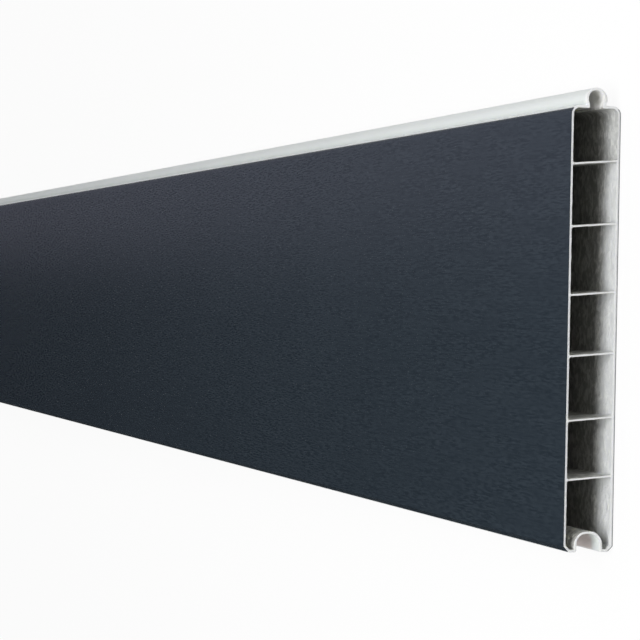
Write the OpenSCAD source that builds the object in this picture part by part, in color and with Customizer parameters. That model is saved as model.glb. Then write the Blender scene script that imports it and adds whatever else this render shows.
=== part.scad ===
// Hollow fence slat with tongue and groove: one extruded profile of pale rigid
// PVC with a decor film on its front and on its back. It lies on its back.
// X runs along the slat, Y from the groove to the tongue, Z out of the front.
// Everything below is drawn on the sawn end, in (u, v): u is the height above
// the two lips beside the groove, and v is the depth, from the back face.

/* [Slat] */
// Length, as the slats of a fence bay are sold
length = 1800; // [400:10:6000]
// Height that one slat covers in the fence, from its lips to its shoulder
cover_w = 200; // [185:1:300]
// Thickness over both faces, films included
thickness = 24; // [22:0.5:40]
// Wall of the faces, the shoulder and the lips, film not included
wall = 1.0; // [0.8:0.1:2]
// Radius of the rounded shoulders beside the tongue
shoulder_r = 4; // [3:0.1:6]
// Chamfer at the outer corners of the lips
chamfer = 2.5; // [1:0.1:4]

/* [Decor film] */
// Thickness of the film on each face
film = 0.2; // [0.1:0.05:0.4]
// How far round the shoulder the film stays, as the angle left bare
film_wrap = 45; // [20:5:80]
// Bare stretch of the chamfer below the film's lower edge
film_gap = 0.4; // [0.2:0.1:1]

/* [Ribs] */
// Thickness of the ribs between the cells
rib = 0.9; // [0.6:0.1:1.6]
// How much nearer the tongue the back end of a rib is than its front end
rib_lean = 1.8; // [0:0.1:3]
// Fillet in the corners of the cells
fillet_r = 0.8; // [0.3:0.1:2]
// From the shoulder to the first rib's middle
step_1 = 25.3; // [16:0.1:40]
// From the first rib to the second
step_2 = 28.1; // [16:0.1:40]
// From the second rib to the third
step_3 = 30.7; // [16:0.1:40]
// From the third rib to the fourth
step_4 = 27.4; // [16:0.1:40]
// From the fourth rib to the fifth
step_5 = 28.8; // [16:0.1:40]
// From the fifth rib to the sixth, below which the last cell takes the rest
step_6 = 26.5; // [16:0.1:40]
// Least clear height of the last cell above the groove
last_cell = 6; // [3:0.5:20]

/* [Tongue] */
// Height of the tongue above the shoulder
tongue_h = 8; // [7.5:0.1:11]
// Width of the tongue over its round head
tongue_w = 10.8; // [9.6:0.1:12]
// Straight stretch under the round of the head, before it turns in to the neck
head_drop = 0.6; // [0.2:0.1:1]
// Width of the neck
neck_w = 9.6; // [8.4:0.1:9.6]
// Height of the neck, with the fillet at its foot
neck_h = 0.9; // [0.6:0.1:1.2]
// Fillet between the neck and the shoulder
neck_r = 0.5; // [0.2:0.1:0.6]
// Wall of the tongue's two sides
tongue_wall = 1.7; // [1.2:0.1:2]
// Wall at the tongue's tip, thinner than the sides
tip_wall = 1.1; // [0.8:0.1:2]
// Rounding where the tongue's hollow opens into the first cell
mouth_r = 0.5; // [0.2:0.1:1]

/* [Groove] */
// Free space between tongue and groove, on each side
side_play = 0.2; // [0.1:0.05:0.6]
// Free space above the tongue's head in the groove
head_play = 0.3; // [0.2:0.1:2]
// Wall on the two sides of the groove
groove_wall = 1.3; // [1:0.1:2.2]
// Wall above the groove, thinner than the sides
groove_top = 1.0; // [0.8:0.1:2]
// Radius in the two upper corners of the groove
groove_r = 4.8; // [1:0.1:5]
// Rounding where each lip turns into the groove
lip_r = 0.8; // [0.3:0.1:1.2]

/* [Hidden] */

// Short facets in a quarter turn, which the film and the profile share
quarter = 10;
// The middle of the thickness, about which all but the ribs is the same both ways
mid = thickness / 2;
// From the outside of the slat to the wall of its hollow
skin = film + wall;
// How far an inset moves a 45 degree corner along its face
lean = tan(22.5);
// Each leg of a 45 degree line of length one
leg = sqrt(0.5);
groove_w = tongue_w + 2 * side_play;
groove_d = tongue_h + head_play;
arch_top = groove_d + groove_top;
// Middle of the tongue's round head
head_u = cover_w + tongue_h - tongue_w / 2;
// Radius of the hollow in the head, its middle, and half the hollow's width in the neck
hollow_r = tongue_w / 2 - tongue_wall;
hollow_u = cover_w + tongue_h - tip_wall - hollow_r;
hollow_neck = neck_w / 2 - tongue_wall;

// The ribs' middles, from the shoulder down, as long as the last cell keeps its
// clear height
steps = [step_1, step_2, step_3, step_4, step_5, step_6];
function sum_to(k) = k < 0 ? 0 : steps[k] + sum_to(k - 1);
lowest_rib = arch_top + last_cell + rib / 2;
ribs = [for (k = [0 : len(steps) - 1]) let (u = cover_w - sum_to(k)) if (u > lowest_rib) u];
last_rib = ribs[len(ribs) - 1];

// Points of a round stretch about c, from angle a0 to angle a1
function arc(c, r, a0, a1, n = quarter) =
    [for (i = [0 : n]) let (a = a0 + (a1 - a0) * i / n) [c[0] + r * cos(a), c[1] + r * sin(a)]];

function reversed(list) = [for (i = [len(list) - 1 : -1 : 0]) list[i]];

// The same points on the other side of the middle of the thickness
function mirrored(list) = [for (p = list) [p[0], thickness - p[1]]];

// A closed outline from its front half
function both_halves(half) = concat(half, reversed(mirrored(half)));

// The stretch of the front that the film covers, set in by t
function covered(t) = concat(
    [[(film_gap + t) * leg, thickness - chamfer + (film_gap - t) * leg],
     [chamfer + t * lean, thickness - t]],
    arc([cover_w - shoulder_r, thickness - shoulder_r], shoulder_r - t, 90, film_wrap));

// Front half of the outside, from the top of the groove to the tip of the tongue
outside = concat(
    arc([groove_d - groove_r, mid + groove_w / 2 - groove_r], groove_r, 0, 90),
    arc([lip_r, mid + groove_w / 2 + lip_r], lip_r, 270, 180, 5),
    [[0, thickness - chamfer], covered(0)[0]],
    covered(film),
    arc([cover_w - shoulder_r, thickness - shoulder_r], shoulder_r, film_wrap, 0),
    arc([cover_w + neck_r, mid + neck_w / 2 + neck_r], neck_r, 180, 270, 5),
    [[cover_w + neck_h, mid + neck_w / 2], [head_u - head_drop, mid + tongue_w / 2]],
    arc([head_u, mid], tongue_w / 2, 90, 0, 2 * quarter));

// Front half of the hollow in the tongue, which is open to the first cell
tongue_hollow = concat(
    [[cover_w - skin - shoulder_r / 2, mid + hollow_neck + mouth_r]],
    arc([cover_w - skin + mouth_r, mid + hollow_neck + mouth_r], mouth_r, 180, 270, 5),
    [[cover_w + neck_h, mid + hollow_neck], [head_u - head_drop, mid + hollow_r]],
    arc([hollow_u, mid], hollow_r, 90, 0, 2 * quarter));

// Front half of the wall around the groove, which runs on through the lips
arch_r = groove_r + groove_wall;
groove_arch = concat(
    arc([arch_top - arch_r, mid + groove_w / 2 - groove_r], arch_r, 0, 90),
    [[0, mid + groove_w / 2 + groove_wall]]);

// Front half of a cell between two heights, with its own corner radii
function cell(low, high, r_low, r_high) = concat(
    arc([low + r_low, thickness - skin - r_low], r_low, 180, 90, 5),
    arc([high - r_high, thickness - skin - r_high], r_high, 90, 0));

// Front half of the last cell, whose lower end follows the chamfered lip
last_cell_half = concat(
    [[skin, thickness - chamfer - skin * lean],
     [chamfer + skin * lean, thickness - skin]],
    arc([last_rib - rib / 2 - fillet_r, thickness - skin - fillet_r], fillet_r, 90, 0, 5));

// A cell's points between two heights moved to follow a leaning rib
function leant(points, from, to) = [for (p = points)
    p[0] > from && p[0] < to ? [p[0] + rib_lean * (mid - p[1]) / (thickness - 2 * skin), p[1]] : p];

module section() {
    difference() {
        polygon(both_halves(outside));
        polygon(leant(
            both_halves(cell(ribs[0] + rib / 2, cover_w - skin, fillet_r, shoulder_r - skin)),
            0, (ribs[0] + cover_w) / 2));
        polygon(both_halves(tongue_hollow));
        for (k = [1 : len(ribs) - 1])
            polygon(leant(
                both_halves(cell(ribs[k] + rib / 2, ribs[k - 1] - rib / 2, fillet_r, fillet_r)),
                0, cover_w));
        difference() {
            polygon(leant(both_halves(last_cell_half), (last_rib + arch_top) / 2, cover_w));
            polygon(both_halves(groove_arch));
        }
    }
}

module film_section() {
    polygon(concat(covered(0), reversed(covered(film))));
}

// Carries a section along the slat and sets the slat's middle over the origin
module along_slat() {
    rotate([90, 0, 90])
        linear_extrude(length, center = true)
            translate([-(cover_w + tongue_h) / 2, 0])
                children();
}

module profile() {
    color("gainsboro") along_slat() section();
}

module front_film() {
    color([0.22, 0.24, 0.27]) along_slat() film_section();
}

module back_film() {
    color([0.22, 0.24, 0.27])
        along_slat() translate([0, thickness]) mirror([0, 1]) film_section();
}

profile();
front_film();
back_film();
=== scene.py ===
# %% [markdown]
# # A hollow fence slat with a dark decor film
# The real slat leaves an extruder as one endless hollow bar of pale PVC. Dark film is
# pressed onto its front and its back while it is still warm, and a saw cuts it to length.
# The packed CAD model gives every size. This script dresses it: it builds the same three
# pieces again as smooth surfaces, with the small traces that the die, the film rollers and
# the saw leave, and lights them the way a product photograph does.

import bpy
import numpy as np
from mathutils import Matrix, Vector
from mathutils.geometry import tessellate_polygon


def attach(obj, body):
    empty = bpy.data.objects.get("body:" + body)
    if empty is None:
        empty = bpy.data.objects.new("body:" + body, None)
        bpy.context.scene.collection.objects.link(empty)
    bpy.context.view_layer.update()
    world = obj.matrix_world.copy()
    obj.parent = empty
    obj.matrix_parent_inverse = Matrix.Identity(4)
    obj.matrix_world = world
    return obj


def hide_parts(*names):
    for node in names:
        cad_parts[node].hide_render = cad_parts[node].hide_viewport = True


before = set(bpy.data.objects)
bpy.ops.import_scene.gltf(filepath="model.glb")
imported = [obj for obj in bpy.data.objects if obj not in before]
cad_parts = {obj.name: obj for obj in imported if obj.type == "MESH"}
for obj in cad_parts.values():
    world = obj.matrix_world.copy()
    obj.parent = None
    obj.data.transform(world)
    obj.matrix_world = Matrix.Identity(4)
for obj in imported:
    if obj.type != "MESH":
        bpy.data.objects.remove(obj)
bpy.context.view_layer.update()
scene = bpy.context.scene

# %% [markdown]
# ## The camera
# The slat lies on its back, and the photographer stood near its sawn end with a long lens,
# turned on its side, so that the tongue is at the top of the picture. A camera can be
# pushed about by eye until the view looks right. Here the corners, ribs and edges of a
# known section fix the lens and the place, so both were worked out from where they fall in
# the picture. The three directions below are the picture's right, the picture's up and
# straight back out of the lens.

# %% Camera
LENS_MM, SENSOR_MM = 139.05, 36.0
CAMERA_AT = Vector((1.9198, 0.00805, 0.45862))
PICTURE_RIGHT = Vector((0.298248, 0.018366, -0.954312))
PICTURE_UP = Vector((-0.014312, 0.999789, 0.014768))
NEAREST_SEEN, FARTHEST_SEEN = 0.05, 100.0

lens = bpy.data.cameras.new("long_lens")
lens.lens, lens.sensor_width = LENS_MM, SENSOR_MM
lens.clip_start, lens.clip_end = NEAREST_SEEN, FARTHEST_SEEN
camera = bpy.data.objects.new("camera", lens)
turn = Matrix((PICTURE_RIGHT, PICTURE_UP, PICTURE_RIGHT.cross(PICTURE_UP))).transposed()
camera.matrix_world = Matrix.Translation(CAMERA_AT) @ turn.to_4x4()
scene.collection.objects.link(camera)
scene.camera = camera
print("camera looks along", [round(-c, 3) for c in turn.col[2]])

# %% [markdown]
# ## The section
# Everything about an extrusion is in its section. It could be read from the packed solids,
# but their round stretches have few facets, so it is drawn again with more points, from
# the sizes of the CAD source, in millimetres: u is the height above the two lips beside
# the groove, v the depth from the back face. It is the same about the middle of its
# thickness, so half of each outline is written and the other half is its mirror image.
# Only the ribs lean: in the photograph their back ends are nearer the tongue than their
# front ends. COVER is the height that one slat covers in the fence, from its lips to its
# shoulder, SKIN is the wall with its film, and the plays are the free space that the next
# slat's tongue has in the groove.

# %% Sizes of the slat and its film, in millimetres
MM = 0.001
LENGTH, COVER, THICKNESS = 1800.0, 200.0, 24.0
WALL, SHOULDER_R, CHAMFER = 1.0, 4.0, 2.5
FILM, FILM_BARE_ANGLE, FILM_GAP = 0.2, 45.0, 0.4
MIDDLE, SKIN = THICKNESS / 2, FILM + WALL
print("slat of", LENGTH, "by", COVER, "by", THICKNESS, "mm with a skin of", SKIN, "mm")

# %% Sizes of the ribs
RIB, RIB_LEAN, FILLET_R = 0.9, 1.8, 0.8
RIB_STEPS = (25.3, 28.1, 30.7, 27.4, 28.8, 26.5)
RIBS = COVER - np.cumsum(RIB_STEPS)
print("ribs at", RIBS.round(1), "mm above the lips")

# %% Sizes of the tongue and of the groove
TONGUE_H, TONGUE_W, HEAD_DROP = 8.0, 10.8, 0.6
NECK_W, NECK_H, NECK_R = 9.6, 0.9, 0.5
TONGUE_WALL, TIP_WALL, MOUTH_R = 1.7, 1.1, 0.5
SIDE_PLAY, HEAD_PLAY = 0.2, 0.3
GROOVE_WALL, GROOVE_TOP, GROOVE_R, LIP_R = 1.3, 1.0, 4.8, 0.8

HEAD_U = COVER + TONGUE_H - TONGUE_W / 2
HOLLOW_R, HOLLOW_NECK = TONGUE_W / 2 - TONGUE_WALL, NECK_W / 2 - TONGUE_WALL
GROOVE_W, GROOVE_D = TONGUE_W + 2 * SIDE_PLAY, TONGUE_H + HEAD_PLAY
GROOVE_SIDE = MIDDLE + GROOVE_W / 2
print("tongue", TONGUE_W, "mm wide, groove", round(GROOVE_W, 1), "mm")

# %% Round stretches
# Into how many straight pieces a round stretch is cut, by its size or by its name
ROUND, SMALL_ROUND, TINY_ROUND = 12, 6, 5
SHOULDER_ROUND, HOLLOW_ROUND, HEAD_ROUND = 10, 16, 20


def arc(u, v, radius, start, end, pieces=ROUND):
    """Points of a round stretch: the centre plus the radius times the cosine and the sine
    of angles spaced evenly from start to end, in degrees."""
    angle = np.radians(np.linspace(start, end, pieces + 1))
    return np.stack([u + radius * np.cos(angle), v + radius * np.sin(angle)], axis=1)


print("a quarter turn in 3 pieces:", arc(0, 0, 1, 0, 90, 3).round(2).tolist())


# %% Mirrored halves
def both_halves(*stretches):
    """The front half of an outline, then the same points backwards with v replaced by the
    thickness minus v."""
    half = np.concatenate(stretches)
    return np.concatenate([half, half[::-1] * [1, -1] + [0, THICKNESS]])


print("a point and its mirror image:", both_halves([(5.0, 20.0)]).tolist())

# %% The stretch under the film
LEG, LEAN = np.sqrt(0.5), np.tan(np.radians(22.5))


def film_stretch(inset):
    """The stretch of the front that the film covers, set in by inset: up the chamfer, along
    the face and round the shoulder until the bare angle. A 45 degree line of length one has
    legs of LEG, and an inset moves its corner along the face by LEAN times itself."""
    gap = (FILM_GAP + inset) * LEG, THICKNESS - CHAMFER + (FILM_GAP - inset) * LEG
    return np.concatenate([
        [gap, (CHAMFER + inset * LEAN, THICKNESS - inset)],
        arc(COVER - SHOULDER_R, THICKNESS - SHOULDER_R, SHOULDER_R - inset, 90, FILM_BARE_ANGLE),
    ])


front_film = np.concatenate([film_stretch(0), film_stretch(FILM)[::-1]])
back_film = front_film * [1, -1] + [0, THICKNESS]
print("film outlines:", len(front_film), "points each")

# %% The outside
outside = both_halves(
    arc(GROOVE_D - GROOVE_R, GROOVE_SIDE - GROOVE_R, GROOVE_R, 0, 90),
    arc(LIP_R, GROOVE_SIDE + LIP_R, LIP_R, 270, 180, SMALL_ROUND),
    [(0, THICKNESS - CHAMFER), film_stretch(0)[0]],
    film_stretch(FILM),
    arc(COVER - SHOULDER_R, THICKNESS - SHOULDER_R, SHOULDER_R, FILM_BARE_ANGLE, 0, SMALL_ROUND),
    arc(COVER + NECK_R, MIDDLE + NECK_W / 2 + NECK_R, NECK_R, 180, 270, TINY_ROUND),
    [(COVER + NECK_H, MIDDLE + NECK_W / 2), (HEAD_U - HEAD_DROP, MIDDLE + TONGUE_W / 2)],
    arc(HEAD_U, MIDDLE, TONGUE_W / 2, 90, 0, HEAD_ROUND),
)
print("outline of the outside:", len(outside), "points")


# %% Hollows between two ribs
def leant(loop, low, high):
    """The outline with its points between two heights moved like a leaning rib: up by the
    lean times the distance behind the middle of the thickness, over the width inside."""
    shift = RIB_LEAN * (MIDDLE - loop[:, 1]) / (THICKNESS - 2 * SKIN)
    on_rib = (loop[:, 0] > low) & (loop[:, 0] < high)
    return loop + np.stack([shift * on_rib, 0 * shift], axis=1)


def cell(low_rib, high_rib):
    """The hollow between the middles of two ribs: a rectangle with its corners rounded."""
    low, high = low_rib + RIB / 2 + FILLET_R, high_rib - RIB / 2 - FILLET_R
    side = THICKNESS - SKIN - FILLET_R
    return leant(both_halves(
        arc(low, side, FILLET_R, 180, 90, SMALL_ROUND),
        arc(high, side, FILLET_R, 90, 0, SMALL_ROUND),
    ), 0, COVER)


middle_cells = [cell(low_rib, high_rib) for high_rib, low_rib in zip(RIBS, RIBS[1:])]
print("hollows between two ribs:", len(middle_cells))

# %% The first hollow, open to the tongue, and the last one, above the groove
first_cell = leant(both_halves(
    arc(RIBS[0] + RIB / 2 + FILLET_R, THICKNESS - SKIN - FILLET_R, FILLET_R, 180, 90, SMALL_ROUND),
    arc(COVER - SHOULDER_R, THICKNESS - SHOULDER_R, SHOULDER_R - SKIN, 90, 0, SHOULDER_ROUND),
    arc(COVER - SKIN + MOUTH_R, MIDDLE + HOLLOW_NECK + MOUTH_R, MOUTH_R, 180, 270, TINY_ROUND),
    [(COVER + NECK_H, MIDDLE + HOLLOW_NECK), (HEAD_U - HEAD_DROP, MIDDLE + HOLLOW_R)],
    arc(COVER + TONGUE_H - TIP_WALL - HOLLOW_R, MIDDLE, HOLLOW_R, 90, 0, HOLLOW_ROUND),
), 0, (RIBS[0] + COVER) / 2)

arch_r, arch_top = GROOVE_R + GROOVE_WALL, GROOVE_D + GROOVE_TOP
last_cell = leant(both_halves(
    arc(arch_top - arch_r, GROOVE_SIDE - GROOVE_R, arch_r, 0, 90),
    [(SKIN, GROOVE_SIDE + GROOVE_WALL), (SKIN, THICKNESS - CHAMFER - SKIN * LEAN)],
    [(CHAMFER + SKIN * LEAN, THICKNESS - SKIN)],
    arc(RIBS[-1] - RIB / 2 - FILLET_R, THICKNESS - SKIN - FILLET_R, FILLET_R, 90, 0, SMALL_ROUND),
), (RIBS[-1] + arch_top) / 2, COVER)
hollows = [first_cell, *middle_cells, last_cell]
print("hollows:", len(hollows), "with", [len(h) for h in hollows], "points")

# %% [markdown]
# ## Carrying an outline along the slat
# Blender can sweep a curve along a path, but a swept bar looks drawn with a ruler, and its
# points can't be moved one by one. Here a bar is a grid of numbers: one direction runs
# round the outline, the other along the slat, and at each station the outline stands
# square across. Two things are then added. Inside, where no calibrator touches the hot
# plastic, the walls are slightly wavy, so each point moves a little along the wall's own
# normal. At the saw cuts the edges are broken by a ragged tenth of a millimetre, and those
# of the thin film by a fifth of that.


# %% Points along the straight stretches
SAME_POINT = 1e-6


def filled(loop, step):
    """The closed outline without points that repeat the one before, and with extra points on
    its straight stretches: each stretch is cut into as many equal parts as it takes for none
    to be longer than step."""
    loop = loop[np.linalg.norm(loop - np.roll(loop, 1, axis=0), axis=1) > SAME_POINT]
    after = np.roll(loop, -1, axis=0)
    parts = np.ceil(np.linalg.norm(after - loop, axis=1) / step).astype(int).clip(1)
    which = np.repeat(np.arange(len(loop)), parts)
    share = (np.arange(len(which)) - np.repeat(np.cumsum(parts) - parts, parts)) / parts[which]
    return loop[which] + share[:, None] * (after - loop)[which]


strip = np.array([(0.0, 0.0), (6.0, 0.0), (6.0, 2.0), (0.0, 2.0)])
print("a strip of 6 by 2 with a point every 2:", len(filled(strip, 2)), "points")

# %% Outlines ready to be carried
OUTER_STEP, INNER_STEP = 3.0, 1.8


def across(loop, step, solid):
    """An outline ready to be carried: extra points every step, moved over the middle of the
    slat, in metres, and running so that its normals point out of the plastic. The area under
    it, half the sum of each point's cross product with the next, tells which way it runs."""
    points = (filled(loop, step) - [(COVER + TONGUE_H) / 2, 0]) * MM
    after = np.roll(points, -1, axis=0)
    area = 0.5 * (points[:, 0] * after[:, 1] - after[:, 0] * points[:, 1]).sum()
    return points if (area > 0) == solid else points[::-1].copy()


profile_outlines = [across(outside, OUTER_STEP, True)]
profile_outlines += [across(hollow, INNER_STEP, False) for hollow in hollows]
print("points round the profile:", [len(outline) for outline in profile_outlines])


# %% Normals and lengths
def outward(points):
    """Each point's own normal: the chord from the point before to the point after, turned
    by a quarter and made one long."""
    chord = np.roll(points, -1, axis=0) - np.roll(points, 1, axis=0)
    chord /= np.linalg.norm(chord, axis=1)[:, None]
    return np.stack([chord[:, 1], -chord[:, 0]], axis=1)


def lengths(points):
    """The distance walked along the outline up to each point, and once round."""
    steps = np.linalg.norm(np.roll(points, -1, axis=0) - points, axis=1)
    return np.concatenate([[0], np.cumsum(steps)])


print("once round the outside:", round(lengths(profile_outlines[0])[-1] / MM), "mm")

# %% Stations along the slat
SAW_EDGE, PART_BROKEN, FILM_EDGE = 0.09, 0.3, 0.2


def stations(fine_to, fine_step, count):
    """Places along the slat, in metres, and the share of the saw edge taken off there.
    From the middle outwards: count wide steps, fine steps over the last fine_to, and the
    broken edge itself. The other half is the same with its sign turned."""
    end = LENGTH / 2
    wide = end - fine_to - np.geomspace(fine_step, end - fine_to, count)[::-1] + fine_step
    fine = np.arange(end - fine_to, end - SAW_EDGE - fine_step / 2, fine_step)
    edge = [end - SAW_EDGE, end - PART_BROKEN * SAW_EDGE, end]
    half = np.concatenate([wide[1:-1], fine, edge])
    taken = np.zeros(len(half))
    taken[-2:] = PART_BROKEN, 1.0
    return np.concatenate([-half[::-1], half]) * MM, np.concatenate([taken[::-1], taken])


plain = stations(fine_to=6, fine_step=3, count=14)
fine = stations(fine_to=76, fine_step=2.2, count=26)
thin = plain[0], plain[1] * FILM_EDGE
print("stations:", len(plain[0]), "outside,", len(fine[0]), "in the hollows")

# %% Wavy walls
WALL_WAVES, WAVE_SIZES, WAVE_COUNT = 0.00003, (0.004, 0.010), 40
rng = np.random.default_rng(7)


def waves(x, s, around):
    """Smooth waviness of a wall: the sum of many sine waves. Each runs a whole number of
    times round the outline, so that it meets itself, and has a random length along the slat
    from the range in WAVE_SIZES, a random phase and the same share of the height."""
    turns = np.round(around / rng.uniform(*WAVE_SIZES, WAVE_COUNT) * rng.choice([-1, 1], WAVE_COUNT))
    along = 1 / rng.uniform(*WAVE_SIZES, WAVE_COUNT)
    phase = rng.uniform(0, 1, WAVE_COUNT)
    angle = turns * (s / around)[:, None] + phase
    value = np.zeros((len(x), len(s)))
    for turn_part, along_part in zip(angle.T, along):
        value += np.sin(2 * np.pi * (x[:, None] * along_part + turn_part[None, :]))
    return WALL_WAVES * value * np.sqrt(2 / WAVE_COUNT)


print("walls wave by about", WALL_WAVES / MM, "mm, in waves of", WAVE_SIZES, "m")

# %% Ragged edges
TEAR_COUNT, FEWEST_TEARS, TEAR_SIZE, TEAR_SWING = 24, 3, 0.0012, 0.5


def ragged(s, around):
    """How deep the saw broke the edge along an outline, from half to one and a half times
    the usual, as a sum of whole waves round it."""
    turns = rng.integers(FEWEST_TEARS, max(FEWEST_TEARS + 1, int(around / TEAR_SIZE)), TEAR_COUNT)
    angle = turns * (s / around)[:, None] + rng.uniform(0, 1, TEAR_COUNT)
    return 1 + TEAR_SWING * np.tanh(np.sin(2 * np.pi * angle).sum(1) / np.sqrt(TEAR_COUNT))


print("saw edges:", SAW_EDGE * (1 - TEAR_SWING), "to", SAW_EDGE * (1 + TEAR_SWING), "mm")


# %% The grid of a bar
def carried(points, along, taken, wavy):
    """The grid of a bar: at station i, outline point j stands at its own place plus its
    normal times the waviness there, less the saw edge where the bar is cut."""
    s, normal = lengths(points), outward(points)
    moved = -taken[:, None] * SAW_EDGE * MM * ragged(s[:-1], s[-1])
    if wavy:
        moved = moved + waves(along, s[:-1], s[-1])
    flat = points + moved[..., None] * normal
    x = np.broadcast_to(along[:, None, None], (*moved.shape, 1))
    return np.concatenate([x, flat], axis=2), s


print("the outside has", len(plain[0]), "by", len(profile_outlines[0]), "points")

# %% [markdown]
# ## From grids to a piece
# One piece of plastic is one mesh: the outside, each hollow and the two cut ends share
# their corners where they meet, so the bar is closed. The hollows could be cut out of a
# full bar with a Boolean modifier, but here the corners of every outline at the cut are
# known already, so the ends are filled between the outlines, which leaves no stray edges.
# Each surface has its own finish, because the die polishes the outside, the inside cools
# on its own, and the saw leaves its marks on the ends. A map laid out like the bar itself,
# outline above outline, lets an export keep the lengthwise grain, which a square map would
# blur.


# %% Faces of the sides and their map
def side_faces(rows, columns, first):
    """Four corners for each face between two stations: point j, the next point round, and
    the same two at the next station. Their order makes the face look outwards."""
    j = np.arange(columns)
    ring = np.stack([j, (j + 1) % columns], axis=1)
    i = np.arange(rows - 1)[:, None] * columns
    corners = [i + ring[:, 0], i + ring[:, 1], i + columns + ring[:, 1], i + columns + ring[:, 0]]
    return np.stack(corners, axis=2).reshape(-1, 4) + first


def side_map(along, s, low, high):
    """Map places for those corners: across the map along the slat, and up it round the
    outline, between low and high."""
    u = along / (LENGTH * MM) + 0.5
    v = low + (high - low) * s / s[-1]
    grid = np.stack(np.meshgrid(u, v, indexing="ij"), axis=2)
    corners = grid[:-1, :-1], grid[:-1, 1:], grid[1:, 1:], grid[1:, :-1]
    return np.stack(corners, axis=2).reshape(-1, 4, 2)


print("faces between two triangles:", side_faces(2, 3, 0).tolist())

# %% Triangles of a cut end and their map
END_SPAN, LOW_END_AT, HIGH_END_AT = 0.48, 0.25, 0.75


def cut_end(rings, firsts, high_end):
    """Triangles that close a cut end between the outer outline and the hollows, turned to
    look out of that end, with the numbers of their corners in the whole mesh. They are found
    in millimetres, because Blender takes corners less than 0.00003 apart for one."""
    flat = [np.pad(ring[:, 1:].astype(np.float32) / MM, ((0, 0), (0, 1))) for ring in rings]
    triangles = np.array(tessellate_polygon([ring.tolist() for ring in flat]))
    places = np.concatenate(rings)[:, 1:]
    a, b, c = (places[triangles[:, k]] for k in range(3))
    wrong_way = (np.cross(b - a, c - a) > 0) != high_end
    triangles[wrong_way] = triangles[wrong_way][:, ::-1]
    numbers = np.concatenate([first + np.arange(len(r)) for first, r in zip(firsts, rings)])
    return numbers[triangles], places[triangles]


def end_map(places, low, high, high_end):
    """Map places for the triangles of a cut end: its height across half of the map and its
    depth up the map, between low and high."""
    middle = HIGH_END_AT if high_end else LOW_END_AT
    u = places[..., 0] / ((COVER + TONGUE_H) * MM) * END_SPAN + middle
    v = low + (high - low) * places[..., 1] / (THICKNESS * MM)
    return np.stack([u, v], axis=-1)


print("each cut end fills", END_SPAN, "of the map's width")

# %% All the sides of a piece
SIDES_UP_TO = 0.92


def all_sides(outlines, grids_along):
    """The points of each outline's grid and the number that they start at, then the faces,
    finishes and map places of all. The first outline is the outside, with finish 0, and the
    others are hollows, with finish 1. Each has as much of the map's height as it is long."""
    points, firsts, faces, finish_of, places = [], [], [], [], []
    walked = np.cumsum([0] + [lengths(outline)[-1] for outline in outlines])
    low, high = SIDES_UP_TO * walked[:-1] / walked[-1], SIDES_UP_TO * walked[1:] / walked[-1]
    for k, outline in enumerate(outlines):
        along, taken = grids_along[min(k, 1)]
        grid, s = carried(outline, along, taken, wavy=k > 0)
        firsts.append(sum(len(p) for p in points))
        points.append(grid.reshape(-1, 3))
        sides = side_faces(*grid.shape[:2], firsts[-1])
        faces += sides.tolist()
        finish_of.append(np.full(len(sides), min(k, 1)))
        places.append(side_map(along, s, low[k], high[k]).reshape(-1, 2))
    return points, firsts, faces, finish_of, places


print("the sides fill", SIDES_UP_TO, "of the map's height")

# %% One closed bar
ENDS_FROM, ENDS_UP_TO = 0.93, 0.995
SHARP_FROM = np.radians(35)


def bar(name, outlines, finishes, grids_along):
    """A closed piece: its sides, then its two cut ends, which take the last finish. The
    first outline is its outside and the others are hollows in it."""
    points, firsts, faces, finish_of, places = all_sides(outlines, grids_along)
    counts, sawn = [len(outline) for outline in outlines], len(finishes) - 1
    for high_end in (True, False):
        ends = [len(p) - n if high_end else 0 for p, n in zip(points, counts)]
        rings = [p[end:end + n] for p, end, n in zip(points, ends, counts)]
        triangles, spots = cut_end(rings, np.add(firsts, ends), high_end)
        faces += triangles.tolist()
        finish_of.append(np.full(len(triangles), sawn))
        places.append(end_map(spots, ENDS_FROM, ENDS_UP_TO, high_end).reshape(-1, 2))
    finish_of = np.concatenate(finish_of)
    mesh = bpy.data.meshes.new(name)
    mesh.from_pydata(np.concatenate(points), [], faces)
    for finish in finishes:
        mesh.materials.append(finish)
    mesh.polygons.foreach_set("material_index", finish_of.astype(np.int32))
    mesh.uv_layers.new(name="OFBake").uv.foreach_set("vector", np.concatenate(places).ravel())
    mesh.shade_smooth()
    mesh.polygons.foreach_set("use_smooth", finish_of < sawn)
    mesh.set_sharp_from_angle(angle=SHARP_FROM)
    mesh.validate()
    piece = bpy.data.objects.new(name, mesh)
    scene.collection.objects.link(piece)
    triangles = 2 * len(faces) - int((finish_of == sawn).sum())
    print(f"{name}: {len(outlines)} outlines, {triangles} triangles")
    return piece


# %% [markdown]
# ## Writing a finish as arithmetic
# A finish is a graph of nodes, and most of those nodes only add and multiply. They could be
# made and linked one by one, but then nobody sees the formula. Here a field is one number
# that varies over the surface. It wraps the socket that gives the number, and plus, minus,
# times and power on it add the Math node, so that a formula reads as a formula. Every other
# node comes from one method of the graph. All patterns are laid out in Object coordinates,
# which are metres of the real slat.


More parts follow.
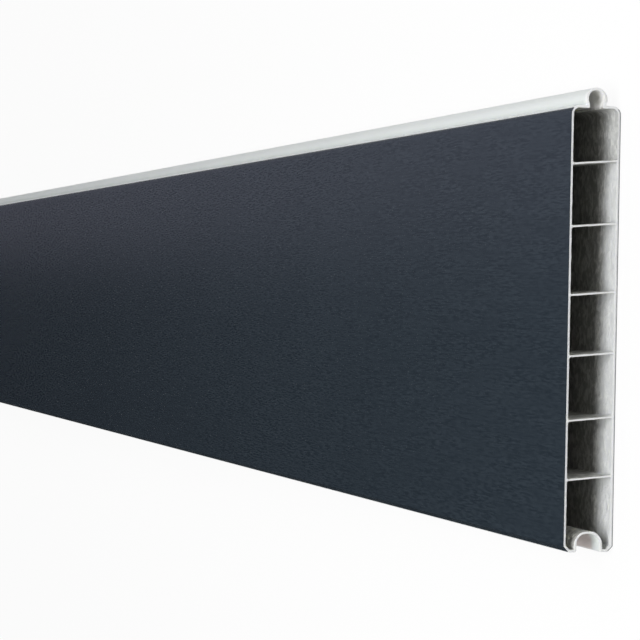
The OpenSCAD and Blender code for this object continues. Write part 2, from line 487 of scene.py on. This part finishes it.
# %% Fields
class Field:
    """A node's output, with arithmetic."""

    def __init__(self, graph, socket):
        self.graph, self.socket = graph, socket

    def _math(self, operation, *values):
        return self.graph.node("Math", dict(enumerate(values)), operation=operation)

    def __add__(self, other):
        return self._math("ADD", self, other)

    def __sub__(self, other):
        return self._math("SUBTRACT", self, other)

    def __rsub__(self, other):
        return self._math("SUBTRACT", other, self)

    def __mul__(self, other):
        return self._math("MULTIPLY", self, other)

    def __pow__(self, other):
        return self._math("POWER", self, other)

    def sine(self):
        return self._math("SINE", self)

    def size(self):
        return self._math("ABSOLUTE", self)

    def over(self, other):
        return self._math("MAXIMUM", self, other)

    def about(self, middle, spread):
        """A field of about 0 to 1 made to vary about middle: its distance from a half,
        times spread, plus middle."""
        return (self - 0.5) * spread + middle

    def step(self, low, high):
        """0 below low, 1 above high, and a smooth rise between."""
        return self.graph.node("MapRange", {"Value": self, "From Min": low, "From Max": high},
                               interpolation_type="SMOOTHSTEP")

    __radd__, __rmul__ = __add__, __mul__


print("a field can:", [name.strip("_") for name, part in vars(Field).items() if callable(part)])


# %% Graphs
class Graph:
    """The nodes of a material or of the world."""

    def __init__(self, owner):
        self.owner = owner
        owner.use_nodes = True
        self.tree = owner.node_tree
        self.tree.nodes.clear()

    def node(self, kind, sockets=None, out=0, **settings):
        """Adds a node of that type. Its settings come first, such as a Math node's operation,
        then the values or links of its sockets, by name or number. Gives one output as a
        field."""
        made = self.tree.nodes.new("ShaderNode" + kind)
        for name, value in settings.items():
            setattr(made, name, value)
        for key, value in (sockets or {}).items():
            if isinstance(value, Field):
                self.tree.links.new(value.socket, made.inputs[key])
            else:
                made.inputs[key].default_value = value
        return Field(self, made.outputs[out]) if len(made.outputs) else None

    def axes(self, place):
        """A place's distances along the slat, up its height and out of its front."""
        return [self.node("SeparateXYZ", {0: place}, out=axis) for axis in "XYZ"]

    def blend(self, factor, first, second):
        """A colour between two, by a factor."""
        return self.node("Mix", {0: factor, 6: first, 7: second}, out=2, data_type="RGBA")

    def noise(self, place, stretch, detail=2.0, roughness=0.5, distortion=0.0):
        """Cloudy noise of about 0 to 1, whose patches are 1 / stretch metres along each axis."""
        spread = self.node("Mapping", {"Vector": place, "Scale": stretch})
        return self.node("TexNoise", {
            "Vector": spread, "Scale": 1.0, "Detail": detail, "Roughness": roughness,
            "Distortion": distortion,
        })

    def bump(self, height, depth, strength):
        """Relief from a field of heights, depth metres high where the field is 1, of which
        the share in strength shows."""
        return self.node("Bump", {"Height": height, "Distance": depth, "Strength": strength})

    def surface(self, shader):
        """Makes a shader the finish, with the output node that its owner needs."""
        kind = "OutputWorld" if isinstance(self.owner, bpy.types.World) else "OutputMaterial"
        self.node(kind, {"Surface": shader})


print("a graph can:", [name.strip("_") for name, part in vars(Graph).items() if callable(part)])


# %% Colours and the milkiness of the plastic
def colour(red, green, blue):
    """A colour as the sockets take it, with 1 for its fourth part."""
    return (red, green, blue, 1.0)


BLACK, WHITE = colour(0, 0, 0), colour(1, 1, 1)
MILKY_DEPTH = 0.0016
MILKY = {
    "Subsurface Weight": 0.6, "Subsurface Radius": (1.0, 1.0, 0.9),
    "Subsurface Scale": MILKY_DEPTH,
}
print("light goes about", MILKY_DEPTH / MM, "mm into the plastic")

# %% [markdown]
# ## The bare plastic, outside
# Rigid PVC comes out of the die pale grey-white and half matt. Light goes a millimetre or
# two into it, so thin walls look milky instead of painted, which is why all the plastic has
# some subsurface light. The polished die and the calibrator draw hair-fine lines along it.
# They could be cut into the mesh, but they are a hundredth of a millimetre deep, so they are
# noise stretched along the slat that feeds the roughness and a bump. Beyond its first
# centimetre the inside of the groove is painted a darker, slightly warm colour: painted shade
# deep in the groove, where less light reaches.

# %% PVC, outside
PVC_WHITE, PVC_TONE, TONE_SPREAD = colour(0.785, 0.82, 0.808), 0.97, 0.05
DIE_LINES, DIE_CLOUDS = (0.8, 2600, 2600), (9, 45, 45)
DIE_ROUGH, DIE_SHINE, DIE_DEPTH = (0.42, 0.18), 0.4, (0.00001, 0.6)
# Painted shade: a darker, slightly warm colour deep inside the groove, with an unshaded stretch next
# to each cut end that ends in a wandering edge
GROOVE_PAINTED_SHADE, GROOVE_FADE = colour(0.70, 0.65, 0.63), 0.3
GROOVE_BELOW, GROOVE_UNSHADED, SHADE_EDGE_WANDER = (-0.0925, -0.0915), (0.007, 0.0105), 0.003


def extruded_pvc():
    """Pale plastic times a tone that varies a little with the lines and the clouds. It takes a
    darker colour, painted shade, where a point is within the groove's width, below the
    groove's end and further in than the stretch next to the cut ends, which stays unshaded."""
    graph = Graph(bpy.data.materials.new("extruded_pvc"))
    place = graph.node("TexCoord", out="Object")
    lines = graph.noise(place, DIE_LINES, detail=3)
    clouds = graph.noise(place, DIE_CLOUDS, detail=3)
    tone = clouds.about(PVC_TONE, TONE_SPREAD) + (lines - 0.5) * TONE_SPREAD
    along, up, height = graph.axes(place)
    groove_edge = GROOVE_W / 2 * MM, (GROOVE_W / 2 + GROOVE_FADE) * MM
    within = 1 - (height - MIDDLE * MM).size().step(*groove_edge)
    in_groove = within * (1 - up.step(*GROOVE_BELOW))
    inside = LENGTH * MM / 2 - along.size() + (clouds - 0.5) * SHADE_EDGE_WANDER
    # painted shade deep in the groove
    painted_groove_shade = in_groove * inside.step(*GROOVE_UNSHADED)
    graph.surface(graph.node("BsdfPrincipled", {
        "Base Color": graph.blend(painted_groove_shade, graph.blend(tone, BLACK, PVC_WHITE), GROOVE_PAINTED_SHADE),
        "Roughness": lines.about(*DIE_ROUGH),
        "Specular IOR Level": DIE_SHINE,
        **MILKY,
        "Normal": graph.bump(lines, *DIE_DEPTH),
    }))
    return graph.owner


outside_finish = extruded_pvc()
print("outside:", outside_finish.name, "with", len(outside_finish.node_tree.nodes), "nodes")

# %% [markdown]
# ## The bare plastic, in the hollows
# Inside, the walls cool against still air and come out mottled, like orange peel. They are
# painted darker than the outside plastic, which is painted shade deep in the hollows. Two
# sizes of noise add up to that relief, and the same sum also tints it a little: a bump alone
# would show near the mouth, where a lamp reaches, and vanish in the even light further in.
# Inside the tongue the colour is paler: painted light, for the light that comes through its
# thin bare walls. On the lower wall in the first centimetres a paler colour is partly white
# dust from the saw and partly painted light where the lamp reaches into the hollows. It
# could be a heap of grains, but so thin a layer has no thickness to see, so it is a paler
# colour that ends in a wandering line. There is less of it in the first hollow, which is
# painted shade under the shoulder, and in the lower ones it lies a little deeper, which is
# painted light reaching further in.

# %% PVC, inside
# Painted shade: both hollow colours are darker than the outside plastic, so the hollows look shaded
# deep inside; the mottle between them is random. The paler colour inside the tongue is painted
# light, for light coming through its thin bare walls.
SHADED_HOLLOW_DARK, SHADED_HOLLOW_PALE = colour(0.38, 0.38, 0.36), colour(0.69, 0.69, 0.66)
TONGUE_LIT_THROUGH, TONGUE_ABOVE = colour(0.88, 0.88, 0.86), (0.0945, 0.0965)
PEEL, MOTTLE, MOTTLE_SHARE, PATCHES = (620, 420, 420), (380, 240, 240), 0.6, (0.42, 0.62)
HOLLOW_ROUGH, HOLLOW_SHINE, HOLLOW_DEPTH = (0.5, 0.3), 0.3, (0.0016, 0.9)
# The pale colours near the cut ends are partly saw dust and partly painted light on the lower wall
# where the lamp reaches into the hollows. Less of it above the first rib is painted shade under the
# shoulder, and the deeper reach below paints light going further into the lower hollows.
THIN_DUST_AND_LIGHT, SAW_DUST_AND_LIGHT, DUST_ROUGH = colour(0.78, 0.80, 0.80), colour(0.87, 0.89, 0.88), 0.2
DUST_AND_LIGHT_REACH, DUST_AND_LIGHT_LOW, DUST_AND_LIGHT_DRIFT, DRIFT = (0.009, 0.020), (0.002, 0.006), 0.012, (60, 90, 90)
PAINTED_LIGHT_DEEPER, DEEPER_BELOW = 0.0015, (-0.020, 0.030)
PAINTED_SHOULDER_SHADE, SHOULDER_SHADE_ABOVE = 0.5, (0.0700, 0.0715)


def hollow_pvc():
    """A colour between dark and pale by the relief, both painted darker than the outside plastic as
    shade in the hollows, and paler inside the tongue as painted light through its walls. Saw
    dust and painted light cover the points that are low down and within a wandering distance of a
    cut end."""
    graph = Graph(bpy.data.materials.new("hollow_pvc"))
    place = graph.node("TexCoord", out="Object")
    peel = graph.noise(place, PEEL, detail=4, roughness=0.6)
    mottle = graph.noise(place, MOTTLE, detail=3, distortion=0.6)
    along, up, height = graph.axes(place)
    drift = graph.noise(place, DRIFT, detail=4, roughness=0.6) - 0.5
    deeper = (1 - up.step(*DEEPER_BELOW)) * PAINTED_LIGHT_DEEPER
    inside = LENGTH * MM / 2 - along.size() - deeper + drift * DUST_AND_LIGHT_DRIFT
    kept = 1 - up.step(*SHOULDER_SHADE_ABOVE) * PAINTED_SHOULDER_SHADE
    # saw dust and painted light: paler near a cut end on the lower wall, less under the shoulder
    dust_and_light = (1 - inside.step(*DUST_AND_LIGHT_REACH)) * (1 - height.step(*DUST_AND_LIGHT_LOW)) * kept
    relief = mottle * MOTTLE_SHARE + peel * (1 - MOTTLE_SHARE)
    tone = relief.step(*PATCHES)
    # painted shade: darker than the outside plastic, with a random mottle
    shaded_bare = graph.blend(tone, SHADED_HOLLOW_DARK, SHADED_HOLLOW_PALE)
    # painted light: paler inside the tongue
    clean = graph.blend(up.step(*TONGUE_ABOVE), shaded_bare, TONGUE_LIT_THROUGH)
    graph.surface(graph.node("BsdfPrincipled", {
        "Base Color": graph.blend(dust_and_light, clean, graph.blend(tone, THIN_DUST_AND_LIGHT, SAW_DUST_AND_LIGHT)),
        "Roughness": peel.about(*HOLLOW_ROUGH) + dust_and_light * DUST_ROUGH,
        "Specular IOR Level": HOLLOW_SHINE,
        **MILKY,
        "Normal": graph.bump(relief, *HOLLOW_DEPTH),
    }))
    return graph.owner


hollow_finish = hollow_pvc()
print("hollows:", hollow_finish.name, "with", len(hollow_finish.node_tree.nodes), "nodes")

# %% [markdown]
# ## The bare plastic, sawn
# On the cut ends the teeth of a round saw leave shallow arcs, and the plastic between them
# is torn white. The arcs are a sine of the distance from the saw's hub, which stands
# outside the slat, with some noise added so that they wander. Straight lines would be
# simpler, but the bend is what tells a round saw from a band saw.

# %% PVC, sawn
SAWN_PALE, SAWN_WHITE, SAWN_TONE = colour(0.88, 0.90, 0.89), colour(0.96, 0.975, 0.97), 0.5
SAW_HUB, SAW_PITCH, WANDER, SAW_WANDER = (0.0, -0.12, -0.11), 0.0011, (300, 120, 120), 9
TORN, TEETH_SHARE, TORN_SHARE = (2500, 2500, 2500), 0.7, 0.6
SAWN_ROUGH, TORN_ROUGH, SAWN_SHINE, SAWN_DEPTH = 0.55, 0.2, 0.3, (0.00004, 0.6)


def sawn_pvc():
    """Ridges that follow the sine of the distance from the hub, one each SAW_PITCH metres,
    plus the fine noise of torn plastic. Both make the relief and the tone."""
    graph = Graph(bpy.data.materials.new("sawn_pvc"))
    place = graph.node("TexCoord", out="Object")
    from_hub = graph.node("VectorMath", {0: place, 1: SAW_HUB}, operation="SUBTRACT")
    _, up, height = graph.axes(from_hub)
    radius = (up ** 2 + height ** 2) ** 0.5
    wander = graph.noise(place, WANDER, detail=2)
    teeth = (radius * (2 * np.pi / SAW_PITCH) + wander * SAW_WANDER).sine() * 0.5 + 0.5
    torn = graph.noise(place, TORN, detail=3)
    relief = teeth * TEETH_SHARE + torn * TORN_SHARE
    graph.surface(graph.node("BsdfPrincipled", {
        "Base Color": graph.blend(relief * SAWN_TONE, SAWN_PALE, SAWN_WHITE),
        "Roughness": torn * TORN_ROUGH + SAWN_ROUGH,
        "Specular IOR Level": SAWN_SHINE,
        **MILKY,
        "Normal": graph.bump(relief, *SAWN_DEPTH),
    }))
    return graph.owner


sawn_finish = sawn_pvc()
print("cut ends:", sawn_finish.name, "with", len(sawn_finish.node_tree.nodes), "nodes")

# %% [markdown]
# ## The decor film
# The film is a dark blue-grey foil, a fifth of a millimetre thick, with a fine wood-like
# grain rolled into it: short pores along the slat, under a centimetre long and under a
# millimetre high, which wander a little and are deeper in some patches than in others. The
# grain is relief and also a slight change of tone, since the pores stay darker and more
# matt. Broad faint clouds come from the print under it. A picture of real film would repeat
# itself and stop at its own sharpness, so the grain is noise stretched along the slat.

# %% Film finish
FILM_DARK, FILM_PALE = colour(0.0165, 0.0245, 0.0330), colour(0.0330, 0.0450, 0.0570)
FILM_ROUGH, FILM_SHINE, FILM_DEPTH = (0.27, -0.06), 0.12, (0.00003, 0.35)
PORES, STREAKS, PRINT = (130, 1300, 1300), (28, 800, 800), (6, 22, 22)
SWAY, SWAY_BY = (14, 60, 60), 0.002
DEEP, DEEP_EDGE, PORE_EDGE, SHALLOW = (25, 90, 90), (0.35, 0.6), (0.3, 0.7), 0.35
PORE_TONE, STREAK_TONE, PRINT_TONE, TONE_EDGE = 0.5, 0.35, 0.15, (0.2, 0.8)
PORE_SHARE = 0.6


def decor_film():
    """Pores and longer streaks, laid out where the sway has moved each point up or down,
    make the relief. With the print's clouds they make a tone between dark and pale."""
    graph = Graph(bpy.data.materials.new("decor_film"))
    place = graph.node("TexCoord", out="Object")
    sway = graph.noise(place, SWAY, detail=1) - 0.5
    moved = graph.node("CombineXYZ", {1: sway * SWAY_BY})
    along_grain = graph.node("VectorMath", {0: place, 1: moved}, operation="ADD")
    pores = graph.noise(along_grain, PORES, detail=2, roughness=0.6)
    streaks = graph.noise(along_grain, STREAKS, detail=3, roughness=0.6)
    printed = graph.noise(place, PRINT, detail=2)
    deep = graph.noise(place, DEEP, detail=2).step(*DEEP_EDGE)
    pore = pores.step(*PORE_EDGE).about(0.5, deep * (1 - SHALLOW) + SHALLOW)
    tone = (pore * PORE_TONE + streaks * STREAK_TONE + printed * PRINT_TONE).step(*TONE_EDGE)
    relief = pore * PORE_SHARE + streaks * (1 - PORE_SHARE)
    graph.surface(graph.node("BsdfPrincipled", {
        "Base Color": graph.blend(tone, FILM_DARK, FILM_PALE),
        "Roughness": pore.about(*FILM_ROUGH),
        "Specular IOR Level": FILM_SHINE,
        "Normal": graph.bump(relief, *FILM_DEPTH),
    }))
    return graph.owner


film_finish = decor_film()
print("film:", film_finish.name, "with", len(film_finish.node_tree.nodes), "nodes")

# %% [markdown]
# ## The three pieces
# The profile has its outside and seven hollows. Its outside is straight along the whole
# slat, so it needs few stations there, and the hollows have many near the cut ends, where
# their waviness shows. The film could be a second colour on the profile's faces, but it is
# a foil with an edge of its own, which shows as a dark line at the chamfer, so the two films
# are thin bars, front and back. Each piece rides on the slat's only body and stands for its
# CAD node.

# %% Profile and films
profile = bar("pvc_profile", profile_outlines, (outside_finish, hollow_finish, sawn_finish),
              (plain, fine))
films = [
    bar(name, [across(outline, OUTER_STEP, True)], (film_finish, film_finish), (thin, thin))
    for name, outline in (("front_decor_film", front_film), ("back_decor_film", back_film))
]

for piece, node, slot in (
    (profile, "profile", "pale_pvc"),
    (films[0], "front_film", "anthracite_film"),
    (films[1], "back_film", "anthracite_film"),
):
    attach(piece, "root")
    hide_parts(node)

# %% [markdown]
# ## The floor
# The floor is plain white. A lit floor alone would come out grey in the distance, and a
# glowing one would light the slat from below, so it does different things for different
# rays. What the camera and reflections see of it is mostly its own white, as in a cut-out
# product picture, and the rest is lit, so that the shadow under the slat stays. The light
# that bounces off it onto the slat is that of a duller floor.


# %% Flat sheets of the studio
def sheets(name, corners, finish):
    """Flat four-cornered pieces of the studio, from four corners for each."""
    mesh = bpy.data.meshes.new(name)
    mesh.from_pydata(corners, [], np.arange(len(corners)).reshape(-1, 4).tolist())
    mesh.materials.append(finish)
    made = bpy.data.objects.new(name, mesh)
    scene.collection.objects.link(made)
    return made


square = np.array([(-1, -1), (1, -1), (1, 1), (-1, 1)])
print("corners of a sheet:", square.tolist())

# %% White floor
FLOOR_GLOW, FLOOR_LIT, FLOOR_BOUNCE = 0.92, colour(0.95, 0.95, 0.95), colour(0.55, 0.55, 0.55)
FLOOR_HALF, FLOOR_Z = 30.0, -0.0003


def seen_directly(graph):
    """1 for rays that come straight from the camera, from a reflection or through glass."""
    kinds = "Is Camera Ray", "Is Glossy Ray", "Is Transmission Ray"
    camera_ray, glossy_ray, glass_ray = (graph.node("LightPath", out=kind) for kind in kinds)
    return camera_ray.over(glossy_ray).over(glass_ray)


def white_floor():
    """Rays that look see mostly the glow and a little of the lit floor, and all others meet
    the duller floor."""
    graph = Graph(bpy.data.materials.new("white_floor"))
    glow = graph.node("Emission", {"Color": WHITE, "Strength": 1.0})
    lit = graph.node("BsdfDiffuse", {"Color": FLOOR_LIT})
    pictured = graph.node("MixShader", {0: FLOOR_GLOW, 1: lit, 2: glow})
    bounce = graph.node("BsdfDiffuse", {"Color": FLOOR_BOUNCE})
    graph.surface(graph.node("MixShader", {0: seen_directly(graph), 1: bounce, 2: pictured}))
    return graph.owner


sheets("floor", np.column_stack([square * FLOOR_HALF, np.full(4, FLOOR_Z)]), white_floor())
print("floor:", 2 * FLOOR_HALF, "m wide")

# %% [markdown]
# ## Screens and a flag
# In an all-white room the satin film would mirror white at this flat angle. A darker
# colour would not help, because the white is a reflection, so the film is kept dark as a
# photographer does it: grey screens stand round the slat and a black flag lies beside its
# groove. Only reflections see them. The screen beyond the far end is pale and slightly cool
# on the tongue's side, and brighter higher up, which gives the film its lighter band there.

# %% Grey screens
SCREEN_AWAY, SCREEN_TOP, SCREEN_DARK, SCREEN_PALE = 3.2, 4.5, 0.02, 0.50
SCREEN_SLANT, SCREEN_EDGE, SCREEN_RISE = 0.085, (-0.03, 0.115), (-0.8, 2.6)
SCREEN_TINT, FAR_ONE = colour(0.98, 0.93, 1.18), (SCREEN_AWAY - 0.2, SCREEN_AWAY - 0.1)


def grey_screens():
    """Dark all round, but the far one is pale on the tongue's side of a slanted line, which
    moves SCREEN_SLANT sideways for each metre of height, with a soft edge. The pale part
    is brighter higher up."""
    graph = Graph(bpy.data.materials.new("grey_screens"))
    x, y, z = graph.axes(graph.node("TexCoord", out="Object"))
    on_far_one = (x * -1).step(*FAR_ONE)
    pale = (y - z * SCREEN_SLANT).step(*SCREEN_EDGE) * on_far_one * z.step(*SCREEN_RISE)
    bright = pale * (SCREEN_PALE - SCREEN_DARK) + SCREEN_DARK
    graph.surface(graph.node("Emission", {
        "Color": graph.blend(bright, BLACK, SCREEN_TINT), "Strength": 1.0,
    }))
    return graph.owner


foot = square * SCREEN_AWAY
next_foot = np.roll(foot, -1, axis=0)
around = np.stack([foot, next_foot, next_foot, foot], axis=1).reshape(-1, 2)
heights = np.tile([0, 0, SCREEN_TOP, SCREEN_TOP], len(foot))
screens = sheets("grey_screens", np.column_stack([around, heights]), grey_screens())
print("screens:", SCREEN_AWAY, "m away and", SCREEN_TOP, "m high")

# %% Black flag, seen like the screens by reflections only
FLAG_DARK, FLAG_NEAR, FLAG_FAR, FLAG_FROM, FLAG_TO = 0.02, -0.12, -1.2, 0.9, -2.5


def black_flag():
    """Dark all over."""
    graph = Graph(bpy.data.materials.new("black_flag"))
    graph.surface(graph.node("Emission", {"Color": WHITE, "Strength": FLAG_DARK}))
    return graph.owner


flag = sheets("black_flag", [
    (FLAG_TO, FLAG_FAR, 0), (FLAG_FROM, FLAG_FAR, 0),
    (FLAG_FROM, FLAG_NEAR, 0), (FLAG_TO, FLAG_NEAR, 0),
], black_flag())
for helper in (screens, flag):
    helper.visible_camera = helper.visible_diffuse = helper.visible_shadow = False
print("flag:", FLAG_FROM - FLAG_TO, "m long")

# %% [markdown]
# ## Sky and lamps
# One large soft lamp stands in front of the sawn end and above it, so that the light
# reaches a little way into the hollows, and a second stands on the tongue's side. Two
# more light the groove's side and the far end, and the sky fills in. One small lamp would
# do for a plain picture, but it throws hard shadows into every hollow and shows as a dot in
# the satin film. The last two are kept out of reflections, because they would wash the film
# out.

# %% Sky
SKY_FILL = 0.22
sky = Graph(bpy.data.worlds.new("sky"))
sky.surface(sky.node("Background", {
    "Color": WHITE, "Strength": seen_directly(sky) * (1 - SKY_FILL) + SKY_FILL,
}))
scene.world = sky.owner
print("sky fills in with", SKY_FILL)

# %% Lamps
KEY, SIDE, GROOVE_FILL, END_FILL = 6.6, 1.4, 2.4, 4.5


def soft_lamp(name, at, towards, size, shine, mirrored=True):
    """A rectangle of light that looks from one point at another, unseen by the camera. Its
    power is the brightness of its face, shine, times its area and pi. One that isn't
    mirrored lights matt plastic without showing as a highlight."""
    light = bpy.data.lights.new(name, "AREA")
    light.shape, light.size, light.size_y = "RECTANGLE", *size
    light.energy = shine * size[0] * size[1] * np.pi
    lamp = bpy.data.objects.new(name, light)
    facing = (Vector(at) - Vector(towards)).to_track_quat("Z", "Y").to_matrix().to_4x4()
    lamp.matrix_world = Matrix.Translation(at) @ facing
    lamp.visible_camera, lamp.visible_glossy = False, mirrored
    scene.collection.objects.link(lamp)
    print(f"{name}: {light.energy:.1f} W")


soft_lamp("key", at=(1.75, 0.0, 1.40), towards=(0.9, 0.0, 0.0), size=(1.4, 0.85), shine=KEY)
soft_lamp("tongue_side", at=(0.1, 1.6, 1.3), towards=(0.0, 0.1, 0.0), size=(2.0, 1.2), shine=SIDE)
soft_lamp("groove_side", at=(0.2, -1.8, 0.35), towards=(0.2, -0.1, 0.0), size=(2.0, 0.5),
          shine=GROOVE_FILL, mirrored=False)
soft_lamp("far_end", at=(-2.2, 0.2, 0.6), towards=(-0.9, 0.0, 0.0), size=(0.9, 0.6),
          shine=END_FILL, mirrored=False)
scene.view_settings.view_transform = "Standard"

# %% [markdown]
